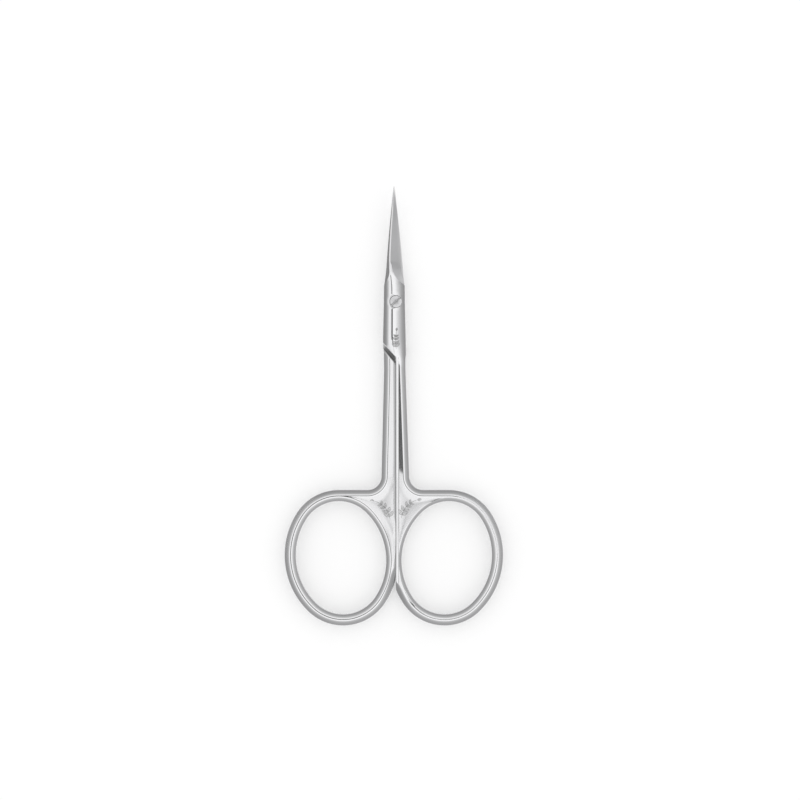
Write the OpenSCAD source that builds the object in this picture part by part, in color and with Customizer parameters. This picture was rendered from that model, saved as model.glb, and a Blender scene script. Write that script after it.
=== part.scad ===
// Cuticle scissors: two forged steel halves and the slotted screw they turn on.
// Millimetres. The scissors lie closed on their back, +Y to the tips, +X to the bow of the
// upper half, +Z up. The origin is on the pivot axis, at the flat back of the joint.
// Each half is drawn in its own frame, bow to +X and mating plane down. The lower half is
// then turned over about the Y axis, so that the two mating planes face each other.

/* [View] */
// Node to draw

/* [Overall] */
// Pivot axis to the tips
blade_reach = 27.5; // [24:0.5:34]
// Pivot axis to the far edge of the finger bows
handle_reach = 77.8; // [76:0.1:84]
// Thickness of the closed joint
joint_t = 4.0; // [3.6:0.1:4.6]
// Gap between the two mating faces
mate_gap = 0.06; // [0.04:0.01:0.1]
// Gap between the two handles where they touch when closed
contact_gap = 0.06; // [0.04:0.01:0.12]

/* [Blades] */
// Distance from the pivot axis at which the blades start
blade_root_y = 7.6; // [6.5:0.1:9]
// Height that the tips curve up by
tip_rise = 3.0; // [0:0.1:4]
// Radius about the pivot inside which the mating faces are flat
flat_r = 5.0; // [4:0.1:6]
// Tip position to the left of the pivot axis
tip_x = 0.43; // [0:0.01:0.6]
// Width of each blade at its tip
tip_w = 0.14; // [0.1:0.02:0.4]
// Thickness of each blade at the root
blade_t = 1.5; // [1.2:0.05:1.7]
// Thickness of each blade at the tip
tip_t = 0.36; // [0.25:0.01:0.6]
// Left side of the closed blades at the root
blade_left = 2.3; // [2:0.05:2.6]
// Right side of the closed blades at the root
blade_right = 1.73; // [1.5:0.01:2.1]
// Outward bow of the blade sides at half length
blade_bow = 0.13; // [0:0.01:0.2]
// Set-back of each cutting edge behind the other blade's spine at the root
edge_setback = 0.42; // [0.2:0.01:0.6]
// Height of the narrow land left along the cutting edge
edge_t = 0.08; // [0.05:0.01:0.15]
// Part of the blade width between the spine and the ridge
ridge_part = 0.2; // [0.15:0.01:0.4]

/* [Joint] */
// Left side of the joint at the pivot
joint_left = 2.86; // [2.6:0.02:3.2]
// Right side of the joint at the pivot
joint_right = 2.16; // [2.1:0.02:3]
// Widening of the joint from the pivot to the notch, each side
joint_flare = 0.2; // [0:0.02:0.4]
// Position of the crest on the upper half, left of the pivot axis
crest_x = 0.95; // [0.6:0.05:1.2]
// Width of the flat back of the lower half, across the pivot
back_land = 2.0; // [1.6:0.1:2.4]
// Where the overhanging half ends at the contact line
notch_y = 13.35; // [12.5:0.05:15]
// Slope of the notch, length over width
notch_slope = 1.09; // [0.6:0.01:1.4]
// Open width of the notch, along the scissors
notch_gap = 1.15; // [0.9:0.05:1.6]

/* [Shanks] */
// Thickness of the shanks
shank_t = 2.9; // [2.4:0.05:3.2]
// Upper half: shank width below the notch
upper_neck_w = 2.45; // [2.2:0.05:3]
// Upper half: shank width above the bow
upper_foot_w = 3.32; // [3:0.02:3.8]
// Lower half: shank width below the notch
lower_neck_w = 2.95; // [2.4:0.05:3.2]
// Lower half: shank width above the bow
lower_foot_w = 3.56; // [3:0.02:3.8]
// Width of the bevel along the contact line
contact_bevel = 0.5; // [0.3:0.05:0.8]
// Radius of the inside corner between shank and bow
root_r = 3.2; // [2.6:0.1:4]

/* [Finger bows] */
// Width of the finger opening
opening_w = 21.4; // [19:0.1:23]
// Length of the finger opening
opening_l = 27.0; // [25:0.1:29]
// Width of the bow's rounded bar
bow_w = 2.9; // [2.4:0.05:3.2]
// Sideways shift of the two arcs that make the bar's crest
crest_shift = 0.1; // [0.04:0.01:0.2]
// Radius of the bow's centre line at both ends
bow_end_r = 10.6; // [9.8:0.1:11.2]
// Lean of the bow's long axis, away from the contact line
bow_tilt = 6.8; // [0:0.2:10]
// Upper half: bow centre from the contact line
upper_bow_x = 12.2; // [11.8:0.05:13.6]
// Lower half: bow centre from the contact line
lower_bow_x = 13.15; // [11.8:0.05:13.6]

/* [Pivot screw] */
// Head diameter
head_d = 2.9; // [2.6:0.05:3.2]
// Head height at its rim
head_t = 0.72; // [0.6:0.02:0.9]
// Doming of the head
head_dome = 0.1; // [0.04:0.01:0.2]
// Slot width
slot_w = 0.5; // [0.4:0.02:0.6]
// Slot depth
slot_depth = 0.42; // [0.3:0.02:0.5]
// Direction of the slot, turned from +X
slot_angle = 42; // [0:1:90]
// Diameter of the plain journal that the upper half turns on
journal_d = 2.0; // [1.8:0.05:2.2]
// Diameter of the threaded end in the lower half
thread_d = 1.8; // [1.5:0.05:1.9]
// Running clearance round the journal, on the radius
journal_gap = 0.03; // [0.01:0.01:0.06]
// Clearance round the head, on the radius
head_gap = 0.07; // [0.05:0.01:0.12]
// Width of the bright countersink round the head
rim_w = 0.3; // [0.15:0.05:0.4]

/* [Hidden] */
mid_z = joint_t / 2;
mate_z = mid_z + mate_gap / 2;
half_t = joint_t / 2 - mate_gap / 2;
contact_x = contact_gap / 2;
shank_half = shank_t / 2;

// Blade sections: height of the spine wall as a part of the ridge height, width of the flat
// ridge as a part of the blade's width, and roundness of the bevel
spine_wall = 0.6;
ridge_land = 0.08;
bevel_roundness = 0.12;

// Joint sections: heights of both walls as parts of the height at the crest, roundness of the
// side right of the crest, and width of the flat crest on the upper half
left_wall = 0.68;
right_wall = 0.64;
joint_roundness = 0.9;
crest_land = 0.22;

// Where the joint's sections stand along Y, from the blades down to the shank
taper_y = 5.5;
front_y = 3.4;
rear_y = -9;
overlap_end_y = -10.2;
notch_top_y = -13.6;
notch_low_y = -14.6;
neck_y = -16.5;

// Y at which the room under the mating plane starts; the overlap ends in it
relief_y = -8.6;

// Narrowing of the joint, each side, and its height, where it runs into the blades
taper_in = 0.25;
taper_lift = 0.88;

// Depth of the shank's contact bevel, and thickness of its thin outer edge on each face
bevel_drop = 0.2;
shank_edge = 0.3;

// Section points on the far side of the crest, blade sections, and facets of the round forms
arc_steps = 5;
blade_steps = 12;
ring_fn = 96;
section_fn = 28;
section_steps = 8;
bore_fn = 64;

// Bow centre line: an oval of four arcs, two end arcs and two side arcs
bow_a = opening_w / 2 + bow_w / 2;
bow_b = opening_l / 2 + bow_w / 2;
end_off = bow_b - bow_end_r;
side_r = (bow_a * bow_a + end_off * end_off - bow_end_r * bow_end_r) / (2 * (bow_a - bow_end_r));
side_off = side_r - bow_a;
join_angle = atan2(end_off, side_off);
bow_half_l = end_off * cos(bow_tilt) + bow_end_r + bow_w / 2;
bow_y = -handle_reach + bow_half_l;

// The straight bar above each opening lies a hair inside the bow's outer edge
bar_inset = 0.04;
bar_y = bow_y + bow_half_l - bar_inset - bow_w / 2;
bar_r = bow_w / 2 - bar_inset + crest_shift;

// Seat of the head, sunk so far that the dome stays under the top of the joint; the head
// stands a hair over it
head_sink = 0.1;
head_rest = 0.02;
head_seat_z = joint_t - head_t - head_dome - head_sink;
head_low_z = head_seat_z + head_rest;

// Chamfer round the head, and depth of the countersink round its seat
head_chamfer = 0.1;
rim_depth = 0.3;

// Half the angle that each of the two arcs of the bow's section takes up
section_half_angle = acos(crest_shift / (bow_w / 2 + crest_shift));

steel = [0.78, 0.79, 0.80];
screw_steel = [0.66, 0.67, 0.69];

function mix(a, b, t) = a + (b - a) * t;

// Centre of the rounded inside corner between shank and bow
function corner(foot) = [foot + root_r, bar_y + bow_w / 2 + root_r];

// Height of the curved mating surface over its flat part. It depends only on the distance
// from the pivot axis, so the two blades slide on each other at every angle.
function rise(x, y) =
    y <= 0 ? 0 : tip_rise * pow(max(0, norm([x, y]) - flat_r) / (blade_reach - flat_r), 2);

// Top line of a section, from the left wall over the crest to the right wall, as [x, height].
// roundness 0 gives a straight bevel right of the crest, 1 a quarter of an ellipse.
function top_line(xl, hl, xc, hc, land, xr, hr, roundness) = concat(
    [[xl, hl], [xc, hc]],
    [for (k = [0:arc_steps - 1])
        let (s = k / (arc_steps - 1), a = 90 * s)
        [
            mix(xc + land, xr, mix(s, sin(a), roundness)),
            mix(hr, hc, mix(1 - s, cos(a), roundness))
        ]]
);

// Section that rests on the mating surface; bend is 1 for the upper half, -1 for the lower
function mated_section(y, line, bend) = concat(
    [for (p = line) [p[0], y, mate_z + bend * rise(p[0], y) + p[1]]],
    [for (k = [len(line) - 1:-1:0])
        [line[k][0], y, mate_z + bend * rise(line[k][0], y)]]
);

// Section that is alike on both faces of the scissors
function twin_section(y, line) = concat(
    [for (p = line) [p[0], y, mid_z + p[1]]],
    [for (k = [len(line) - 1:-1:0]) [line[k][0], y, mid_z - line[k][1]]]
);

// Blade section at part t of the way from root to tip
function blade_section(t, spine, edge, tip_left, bend) =
    let (
        bulge = blade_bow * 4 * t * (1 - t),
        xl = mix(-spine, tip_left, t) - bulge,
        xr = mix(edge - edge_setback, tip_left + tip_w, t) + bulge,
        hc = mix(blade_t, tip_t, t),
        xc = mix(xl, xr, ridge_part)
    )
    mated_section(
        mix(blade_root_y, blade_reach, t),
        top_line(xl, spine_wall * hc, xc, hc, ridge_land * (xr - xl), xr, edge_t,
            bevel_roundness),
        bend
    );

// Joint section at y for a half whose sides stand at -left and right
function joint_section(y, left, right, crest, land, lift, bend) = mated_section(
    y,
    top_line(-left, left_wall * lift, -crest, lift, land, right, right_wall * lift,
        joint_roundness),
    bend
);

// Shank section; it runs past the contact line, where the contact face is cut
function shank_section(y, width, half) = twin_section(
    y,
    top_line(-bevel_drop, half - contact_bevel - bevel_drop, contact_bevel, half,
        max(0.15, width - contact_bevel - half), width, shank_edge, 1)
);

// All sections of one half, from the tip to the middle of the gusset
function half_sections(left, right, crest, land, spine, edge, tip_left, neck, foot, bend) = concat(
    [for (k = [blade_steps:-1:0])
        blade_section(k / blade_steps, spine, edge, tip_left, bend)],
    let (wide_left = left + joint_flare, wide_right = right + joint_flare) [
        joint_section(taper_y, left - taper_in, right - taper_in, crest + 0.15, 0.25,
            taper_lift * half_t, bend),
        joint_section(front_y, left - 0.02, right - 0.02, crest, land, half_t, bend),
        joint_section(0, left, right, crest, land, half_t, bend),
        joint_section(rear_y, wide_left, wide_right, crest, land, half_t, bend),
        twin_section(overlap_end_y,
            top_line(-wide_left, 1.3, -crest, half_t + 0.02, land, wide_right, 1.15, 0.9)),
        twin_section(notch_top_y,
            top_line(-wide_left, 0.9, -0.3, 1.72, 0.6, mix(wide_right, neck, 0.6), 0.7, 1)),
        twin_section(notch_low_y, top_line(-0.3, 0.9, 0.3, 1.58, 0.6, neck, 0.5, 1))
    ],
    [
        shank_section(neck_y, neck, shank_half),
        shank_section(corner(foot)[1], foot, shank_half + 0.03),
        shank_section(bow_y + 11, foot - 0.2, shank_half - 0.01),
        shank_section(bow_y + 6, foot - 1.2, shank_half - 0.08),
        shank_section(bow_y + 3, foot - 2, shank_half - 0.3)
    ]
);

// Solid skin over a list of sections that all have the same number of points, capped at both
// ends or closed into a loop
module skin(sections, closed = false) {
    n = len(sections[0]);
    count = len(sections);
    spans = closed ? count : count - 1;
    polyhedron(
        points = [for (s = sections) for (p = s) p],
        faces = concat(
            closed ? [] : [[for (k = [n - 1:-1:0]) k]],
            [for (s = [0:spans - 1]) for (k = [0:n - 1])
                let (next = (s + 1) % count * n)
                [s * n + k, next + (k + 1) % n, next + k]],
            [for (s = [0:spans - 1]) for (k = [0:n - 1])
                let (next = (s + 1) % count * n)
                [s * n + k, s * n + (k + 1) % n, next + (k + 1) % n]],
            closed ? [] : [[for (k = [0:n - 1]) (count - 1) * n + k]]
        ),
        convexity = 6
    );
}

// Section of a bar with a soft crest on its upper and lower face
module crested_section(r) {
    intersection() {
        translate([crest_shift, 0]) circle(r, $fn = section_fn);
        translate([-crest_shift, 0]) circle(r, $fn = section_fn);
    }
}

// Arc of crested bar about the origin, from angle start over the angle sweep
module bar_arc(r, start, sweep, section_r) {
    rotate([0, 0, start])
        rotate_extrude(angle = sweep, $fn = ring_fn)
            translate([r, 0]) crested_section(section_r);
}

// Outline of the crested section as [across, height], once round
function section_point(k, n) =
    let (
        r = bow_w / 2 + crest_shift,
        side = k < n ? 1 : -1,
        a = section_half_angle * (2 * (k % n) / n - 1)
    )
    side * [r * cos(a) - crest_shift, r * sin(a)];

// Station of the bow on an arc of radius r at angle a round centre c
function bow_section(c, r, a) = [
    for (k = [0:2 * section_steps - 1])
        let (p = section_point(k, section_steps))
        [c[0] + (r + p[0]) * cos(a), c[1] + (r + p[0]) * sin(a), p[1]]
];

// Finger bow of four arcs round its own centre, leaning to +X
module bow() {
    side_steps = 14;
    end_steps = 22;
    end_sweep = 180 - 2 * join_angle;
    half = concat(
        [for (k = [0:side_steps - 1])
            bow_section([-side_off, 0], side_r, join_angle * (2 * k / side_steps - 1))],
        [for (k = [0:end_steps - 1])
            bow_section([0, end_off], bow_end_r, join_angle + end_sweep * k / end_steps)]
    );
    other_half = [for (s = half) [for (p = s) [-p[0], -p[1], p[2]]]];
    rotate([0, 0, -bow_tilt])
        skin(concat(half, other_half), closed = true);
}

// Point of the bow's centre line on the side that faces the contact line, and over its top
function turned(p, a) = [p[0] * cos(a) - p[1] * sin(a), p[0] * sin(a) + p[1] * cos(a)];
function top_point(a) = turned([bow_end_r * cos(a), end_off + bow_end_r * sin(a)], -bow_tilt);
function side_point(a) = turned([side_off + side_r * cos(a), side_r * sin(a)], -bow_tilt);

// Flat gusset between shank, bow and the bar above the opening
module gusset(foot, bow_x) {
    c = corner(foot);
    r = root_r + bow_w / 2;
    translate([0, 0, mid_z - shank_half])
        linear_extrude(shank_t)
            polygon(concat(
                [[contact_bevel, c[1]]],
                [for (a = [180:10:270]) c + r * [cos(a), sin(a)]],
                [for (a = [90 + bow_tilt:6:180 - join_angle])
                    [bow_x, bow_y] + top_point(a)],
                [for (a = [180 - join_angle + 4:4:168]) [bow_x, bow_y] + side_point(a)]
            ));
}

// Bar along the upper edge of the gusset and round the inside corner into the shank
module top_bar(foot, bow_x) {
    c = corner(foot);
    translate([c[0], c[1], mid_z])
        bar_arc(root_r + bow_w / 2, 180, 90, bar_r);
    translate([c[0], bar_y, mid_z])
        rotate([90, 0, 90])
            linear_extrude(bow_x + end_off * sin(bow_tilt) - c[0])
                crested_section(bar_r);
}

// Edge of the overhanging half at the notch, and the shoulder it closes on
function notch_line(x) = -notch_y - notch_slope * x;
function shoulder_line(x) = -notch_y - notch_gap + notch_slope * x;

// Everything that is cut from a half so that it clears the other one
module clearance_for_other_half() {
    far = 8;
    // Room for the other half's overhang under the mating plane
    translate([0, 0, -1])
        linear_extrude(mate_z + 1)
            polygon([
                [-far, relief_y], [far, relief_y],
                [far, shoulder_line(far)], [-far, shoulder_line(-far)]
            ]);
    // Room for the other half's shank and bow beyond the contact line
    translate([0, 0, -1])
        linear_extrude(joint_t + 2)
            polygon([
                [contact_x, notch_line(contact_x)], [-far, notch_line(-far)],
                [-far, -handle_reach - 4], [contact_x, -handle_reach - 4]
            ]);
}

// One half without its bore
module forging(left, right, crest, land, spine, edge, tip_left, neck, foot, bow_x, bend) {
    difference() {
        union() {
            skin(half_sections(left, right, crest, land, spine, edge, tip_left, neck, foot, bend));
            gusset(foot, bow_x);
            top_bar(foot, bow_x);
            translate([bow_x, bow_y, mid_z]) bow();
        }
        clearance_for_other_half();
    }
}

module upper_half() {
    color(steel)
        difference() {
            forging(
                left = joint_left, right = joint_right, crest = crest_x, land = crest_land,
                spine = blade_left, edge = blade_right, tip_left = -tip_x - tip_w / 2,
                neck = upper_neck_w, foot = upper_foot_w, bow_x = upper_bow_x, bend = 1
            );
            // Bore for the journal, seat for the head and the countersink round it
            cylinder(d = journal_d + 2 * journal_gap, h = joint_t + 1, $fn = bore_fn);
            translate([0, 0, head_seat_z])
                cylinder(d = head_d + 2 * head_gap, h = joint_t, $fn = bore_fn);
            translate([0, 0, joint_t - rim_depth])
                cylinder(d1 = head_d + 2 * head_gap, d2 = head_d + 2 * head_gap + 4 * rim_w,
                    h = 2 * rim_depth, $fn = bore_fn);
        }
}

module lower_half() {
    color(steel)
        difference() {
            translate([0, 0, joint_t])
                rotate([0, 180, 0])
                    forging(
                        left = joint_right, right = joint_left, crest = back_land / 2,
                        land = back_land, spine = blade_right, edge = blade_left,
                        tip_left = tip_x - tip_w / 2, neck = lower_neck_w,
                        foot = lower_foot_w, bow_x = lower_bow_x, bend = -1
                    );
            // Threaded hole, drawn at the size of the screw's thread
            translate([0, 0, -1])
                cylinder(d = thread_d, h = joint_t + 1, $fn = bore_fn);
        }
}

module pivot_screw() {
    head_r = head_d / 2;
    lower_top = mid_z - mate_gap / 2;
    rim_z = head_low_z + head_t;
    color(screw_steel)
        difference() {
            rotate_extrude($fn = bore_fn)
                polygon([
                    [0, 0],
                    [thread_d / 2, 0],
                    [thread_d / 2, lower_top],
                    [journal_d / 2, lower_top],
                    [journal_d / 2, head_low_z],
                    [head_r, head_low_z],
                    [head_r, rim_z - head_chamfer],
                    [head_r - head_chamfer, rim_z],
                    [head_r * 0.5, rim_z + head_dome * 0.75],
                    [0, rim_z + head_dome]
                ]);
            rotate([0, 0, slot_angle])
                translate([-head_d, -slot_w / 2, rim_z - slot_depth])
                    cube([2 * head_d, slot_w, joint_t]);
        }
}

upper_half();
lower_half();
pivot_screw();
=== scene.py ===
"""Cuticle scissors, closed and lying flat on a pale table, seen from straight above.

The two halves are drawn as fine meshes in place of their CAD nodes. Each half is made in its
own frame, in millimetres: bow to +X, mating plane down. A flat outline with its offset rows
is triangulated, and height functions give its upper and lower surface. The lower half is then
turned over about the Y axis.
"""

import math
import bpy
import numpy as np
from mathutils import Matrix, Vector
from mathutils.geometry import delaunay_2d_cdt


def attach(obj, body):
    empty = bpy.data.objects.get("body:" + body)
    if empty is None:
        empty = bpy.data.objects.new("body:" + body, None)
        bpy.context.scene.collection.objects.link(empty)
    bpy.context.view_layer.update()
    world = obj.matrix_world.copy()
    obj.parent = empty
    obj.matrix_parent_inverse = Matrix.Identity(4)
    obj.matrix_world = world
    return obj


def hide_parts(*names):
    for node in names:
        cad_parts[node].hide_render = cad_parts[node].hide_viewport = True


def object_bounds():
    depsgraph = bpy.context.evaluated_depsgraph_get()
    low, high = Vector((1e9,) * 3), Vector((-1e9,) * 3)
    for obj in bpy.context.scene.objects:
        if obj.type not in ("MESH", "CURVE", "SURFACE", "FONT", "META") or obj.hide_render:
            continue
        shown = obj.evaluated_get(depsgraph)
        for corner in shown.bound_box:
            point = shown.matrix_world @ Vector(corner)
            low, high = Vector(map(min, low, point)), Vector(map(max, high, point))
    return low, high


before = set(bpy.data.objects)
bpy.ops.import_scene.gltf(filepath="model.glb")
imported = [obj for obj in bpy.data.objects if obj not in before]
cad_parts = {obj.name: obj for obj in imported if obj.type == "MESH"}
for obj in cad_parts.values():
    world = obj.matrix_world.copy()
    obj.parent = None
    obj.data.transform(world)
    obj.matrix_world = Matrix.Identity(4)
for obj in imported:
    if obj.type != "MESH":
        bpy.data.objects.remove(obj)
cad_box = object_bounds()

MM = 0.001

# Sizes of the part, as in its source; the reach and the bars' width are 0.01 to 0.02 less here,
# so that the fine meshes stay inside the solids
JOINT_T = 4.0
MID = JOINT_T / 2
MATE_GAP = 0.06
MATE = MID + MATE_GAP / 2
HALF_T = JOINT_T / 2 - MATE_GAP / 2
CONTACT_X = 0.03
BLADE_REACH = 27.5
HANDLE_REACH = 77.785
BLADE_ROOT = 7.6
TIP_RISE = 3.0
FLAT_R = 5.0
TIP_W = 0.14
TIP_T = 0.36
BLADE_BOW = 0.13
EDGE_SETBACK = 0.42
EDGE_T = 0.08
RIDGE_PART = 0.13
RIDGE_SPREAD = 0.09
RIDGE_SPREAD_RUN = 0.12
RIDGE_W = 0.3
RIDGE_TIP_W = 0.05
JOINT_FLARE = 0.2
NOTCH_Y = 13.35
NOTCH_SLOPE = 1.09
NOTCH_GAP = 1.15
ROOT_R = 3.2
OPENING_W = 21.4
OPENING_L = 27.0
BOW_W = 2.89
BOW_END_R = 10.6
BOW_TILT = math.radians(6.8)
HALF_W = BOW_W / 2

# Centre line of a bow: four arcs, tangent to each other
BOW_A = OPENING_W / 2 + HALF_W
BOW_B = OPENING_L / 2 + HALF_W
END_OFF = BOW_B - BOW_END_R
SIDE_R = (BOW_A**2 + END_OFF**2 - BOW_END_R**2) / (2 * (BOW_A - BOW_END_R))
SIDE_OFF = SIDE_R - BOW_A
JOIN = math.atan2(END_OFF, SIDE_OFF)
BOW_HALF_L = END_OFF * math.cos(BOW_TILT) + BOW_END_R + HALF_W
BOW_Y = -HANDLE_REACH + BOW_HALF_L
TOP_Y = BOW_Y + BOW_HALF_L
CORNER_Y = TOP_Y + ROOT_R

# Side lines of the joint: y, and how far they lie inside the joint's own half width
LEFT_SIDE = ((-16, -JOINT_FLARE), (-9, -JOINT_FLARE), (0, 0), (3.6, 0.03), (5.5, 0.3))
RIGHT_SIDE = ((-9, -JOINT_FLARE), (0, 0), (3.6, 0.03), (4.7, 0.16), (5.7, 0.6))
SIDE_ROUND = 0.35
# Where the right side has reached the neck of the shank, and where it has come this part of
# the way
NECK_Y = -16.5
HIP_Y = -13.6
HIP_PART = 0.7
# The shank goes on widening for a short way beside the fillet
FOOT_RUN = 2.0
FOOT_FLARE = 0.06
# Crest line of the joint: y and x where it comes over from the shank, then y and the distance
# by which it lies beyond the half's own crest
CREST_TURN = ((-16.5, 0.9), (-14.6, 0.4), (-13, -0.35))
CREST_RUN = ((-9, 0), (0, 0), (3.4, 0), (5.5, 0.2))
CREST_CURVE = 0.5
# The crest's land takes at most this share of the way to the right side
LAND_SHARE = 0.4

# Finer forms than the solids have: facets, crests, hollow plates, bevels at the contact line
CREST_H = 1.546
CREST_IN = 1.35
CREST_OUT = BOW_W - CREST_IN
CREST_ROUND = 0.62
CREST_LAND = 0.04
FACET_SLOPE = 0.64
EDGE_ROUND = 0.2
EDGE_DROP = 0.15
OUTSIDE_FALL = 8.0
BACK_SLOPE = 0.085
BACK_DROP = 0.13
BACK_BLEND = 0.04
RUN_BLEND = 0.2
DISH = 0.18
DISH_RUN = 1.5
DISH_BLEND = 0.5
WAIST_RUN = 5.0
WAIST_CURVE = 1.6
WAIST_SLOPE = 0.18
SHELF_Z = 1.24
SHELF_ROUND = 0.09
SHELF_DROP = 0.1
NOTCH_ROUND = 0.12
NOTCH_DROP = 0.08
SHOULDER_ROUND = 0.55
SHOULDER_DROP = 0.6
FLANK_SLOPE = 0.8
FLANK_END = 4.4
STRIP_SLOPE = 0.27
BEVEL_TOP = 9.5
BEVEL_FALL = 0.33
EDGE_RISE = 0.2
EDGE_RISE_Y = 7.8
RIDGE_H = 1.42
RIDGE_FALL = 0.122
RIDGE_BASE = (10.5, 13.5)
JOINT_END_Y = -17
UNCUT = 9.0
# Height of the crest above the mating surface, by y
CREST_LIFT = ((-18, 1.45), (-16.5, 1.47), (HIP_Y, 1.72), (-10, HALF_T), (6.6, HALF_T),
              (BEVEL_TOP, RIDGE_H), (BLADE_REACH, TIP_T))
LIFT_ROUND = 0.4
# Slope across the joint, from the crest (0) to the side (1)
LEFT_SLOPES = ((0, 0.12), (0.2, 0.23), (0.5, 0.27), (0.6, 0.34), (0.7, 0.6), (1, 0.78))
RIGHT_SLOPES = ((0, 0.1), (0.15, 0.22), (0.38, 0.26), (0.5, 0.32), (0.62, 0.4), (0.77, 0.58),
                (0.93, 0.76), (1, 0.85))

# Spans of y over which one form passes into another
DISH_SPAN = (TOP_Y + 3, TOP_Y - 3)
BACK_SPAN = (-36, -43)
SHELF_SPAN = (-33, -44)
SATIN_SPAN = (-41, -43)
SATIN_END_SPAN = (-64, -58)
LAND_SPAN = (-1.0, 2.0)
RIDGE_SPAN = (5.5, 9.0)
RIDGE_TIP_SPAN = (21, BLADE_REACH)
STRIP_SPAN = (6.5, 9.5)
SHANK_SPAN = (-12.3, -16.5)
# Span of y over which painted shade on the inner faces deepens towards the notch
NOTCH_SHADE_SPAN = (-8.0, -12.2)
# Spans counted from where the bow leaves the contact line
DISH_START = (3, 11)
WAIST_START = (-7, 0)
WAIST_END = (8, 16)
# Distance from the crests over which the satin begins
SATIN_WIDTH = (0.05, 0.5)
# Below this a place counts as on a bow, and its place along it is measured at this radius
RING_Y = -47
RING_R = 12.0

# Mesh steps along the outline in mm, along the bow in radians, and between the places at
# which the side curves are read
STEP = {"left": 0.3, "notch": 0.25, "contact": 0.5, "top": 0.35, "shank": 0.4, "joint": 0.3}
ARM_STEP = 0.024
STATION = 0.1
# Distances inside a side or beside a line at which the mesh has rows of points
OPENING_ROWS = (0.08, 0.2, 0.45, 0.62)
FACET_ROWS = (1.0, 1.18, CREST_IN - CREST_LAND)
OUTER_ROWS = (0.08, 0.2, 0.45, 0.75, 1.05, 1.3, CREST_OUT - CREST_LAND, CREST_OUT + CREST_LAND)
SHANK_ROWS = (1.75, 2.0)
BEVEL_ROWS = (0.045, SHELF_ROUND, 0.25)
BESIDE_ROWS = (0.95, 1.25)
SHOULDER_ROWS = (0.04, 0.12, 0.25, 0.4, SHOULDER_ROUND)
NOTCH_ROWS = (0.05, NOTCH_ROUND, 0.3)
# Rows between the crest (0) and a side (1) of the joint
LEFT_PARTS = (0.0, 0.2, 0.45, 0.6, 0.75, 0.88, 0.96)
RIGHT_PARTS = (0.0, 0.15, 0.3, 0.45, 0.62, 0.78, 0.9, 0.96)
LEAST_ROW_GAP = 0.02
CONTACT_STEP = 0.35
JOINT_Y = (-16.4, 12)
JOINT_STEP = 0.28
BLADE_STEP = 0.36
# Least distance of a loose point from a row, on the handle and in the joint
HANDLE_GAP = 0.12
JOINT_GAP = 0.05
# Rings of loose points round the bore, and spacing of those on the plates
BORE_RINGS = (1.15, 1.27, 1.4, 1.6, 1.7, 1.95)
PLATE_STEP = 0.42
PLATE_SHIFT = 0.2
PLATE_X = 1.2
PLATE_Y = (-62, -11)

# Screw and its seat
HEAD_R = 1.45
HEAD_T = 0.72
HEAD_SINK = 0.1
HEAD_REST = 0.02
HEAD_ROUND = 0.1
HEAD_DOME = 0.1
HEAD_Z = 3.82
SEAT_R = 1.52
SEAT_Z = JOINT_T - HEAD_T - HEAD_DOME - HEAD_SINK
SLOT_W = 0.3
SLOT_Z = 3.4
SLOT_ANGLE = math.radians(42)
SLOT_CHAMFER = 0.12
BORE_R = 1.03
JOURNAL_R = 1.0
THREAD_R = 0.9
THREAD_CHAMFER = 0.06
END_RING_R = 0.45
RIM_Z = 3.87
CONE_SLOPE = 0.35
CONE_REACH = 2.6
HEAD_RINGS = (0.15, 0.3, 0.45, 0.6, 0.75, 0.9, 1.05, 1.2, 1.3, 1.35, 1.4, 1.43)
HEAD_STEP = 0.12
# Radius and height of the rings below the head: journal, thread, end
STEM = ((JOURNAL_R, SEAT_Z + HEAD_REST), (JOURNAL_R, MATE - MATE_GAP),
        (THREAD_R, MATE - MATE_GAP), (THREAD_R, THREAD_CHAMFER),
        (THREAD_R - THREAD_CHAMFER, 0), (END_RING_R, 0))

# Finish of a face, as the place of its material: on a half, then on the screw
# The inner finish is ground steel whose darker tone is painted shade
POLISHED, GROUND, INNER_SHADED, SEAT = 0, 1, 2, 3
# The seat finish, also on the slot floor, has a darker tone that is painted shade
TURNED, SLOT_FLOOR = 0, 1
# Places where the finish changes, and where the shoulder and the seam end
GROUND_Y = 2
STEP_TOP_Y = -9
SEAM_TOP_Y = -12
BORE_ZONE_R = 2
# Width of the paler wear along the edges, and angles up to which a crease is smooth
RIM_WEAR_W = 0.16
HEAD_WEAR_W = 0.08
HALF_SHARP = 32
SCREW_SHARP = 28

# Steel: noise in metres, lines in the values across and along the bar
CLOUD_SCALE = 260.0
SPECK_SCALE = 5200.0
LINE_STRETCH_ALONG = 0.5
LINE_STRETCH_ACROSS = 0.7
WEAR = 0.5
WORN_STEEL = (0.86, 0.86, 0.86)
CLOUD_ROUGH = 0.10
GRAIN_ROUGH = 0.08
LEAST_ROUGH = 0.06
BUMP_HEIGHT = 0.00001

# Ornament: leaves as parts of the sprig's size, strokes in millimetres
LEAF_ANGLE = 48
LEAF_W = 0.42
END_LEAF = 0.6
END_LEAF_W = 0.3
ETCH_STEP = 0.1
ETCH_W = 0.15
ETCH_UP = 0.005
ETCH_DOWN = 0.02

# Table and camera: the table's half width and the sensor in millimetres, the rest in metres
TABLE_HALF = 12000
TABLE_GAP = 0.0001
TABLE_TONE = (0.72, 0.72, 0.72)
TABLE_GLOW = 0.3
SENSOR_W = 36
CAMERA_DISTANCE = 0.9
VIEW_W = 0.192
VIEW_CENTRE = (0.001, -0.0236)
VIEW_Z = 0.002
# Studio seen in the polished steel: degrees from straight above, brightness
STUDIO = ((0, 0.12), (4.6, 0.14), (6.6, 0.95), (14, 1.08), (26, 1.05), (36, 0.74), (46, 0.52),
          (58, 0.39), (70, 0.33), (82, 0.33), (87, 0.95))
# How the brightness changes towards +X and +Y
STUDIO_X = 0.1
STUDIO_Y = -0.16

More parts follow.
